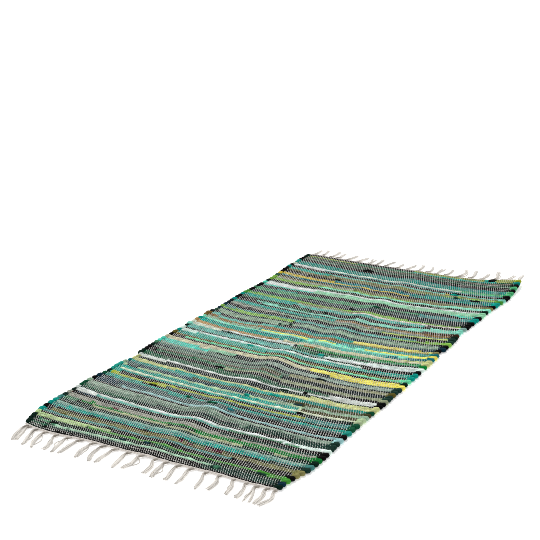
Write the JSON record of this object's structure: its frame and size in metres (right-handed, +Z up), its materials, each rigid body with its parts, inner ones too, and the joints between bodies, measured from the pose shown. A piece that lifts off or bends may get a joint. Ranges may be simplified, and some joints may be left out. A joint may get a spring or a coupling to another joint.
{
  "type": "flatweave rag rug runner",
  "caption": "Flat-woven rag rug of striped cotton strips, lying flat with a low lengthwise crease, looped selvedges and knotted warp tassels at both ends.",
  "frame": {"origin": "on the floor, under the middle of the rug with its tassels", "axes": "+X across the rug, +Y along it towards the end with the curled corner, +Z up"},
  "size_m": [0.7452, 1.5701, 0.0194],
  "materials": {
    "rag_cloth": "matte woven cotton rags in green, teal, black and pale stripes, with an off-white warp",
    "warp_cotton": "matte off-white cotton warp yarn, knotted and loosely twisted"
  },
  "bodies": {
    "root": {"woven_cloth": "rag_cloth", "fringe_near": "warp_cotton", "fringe_far": "warp_cotton"}
  },
  "joints": []
}
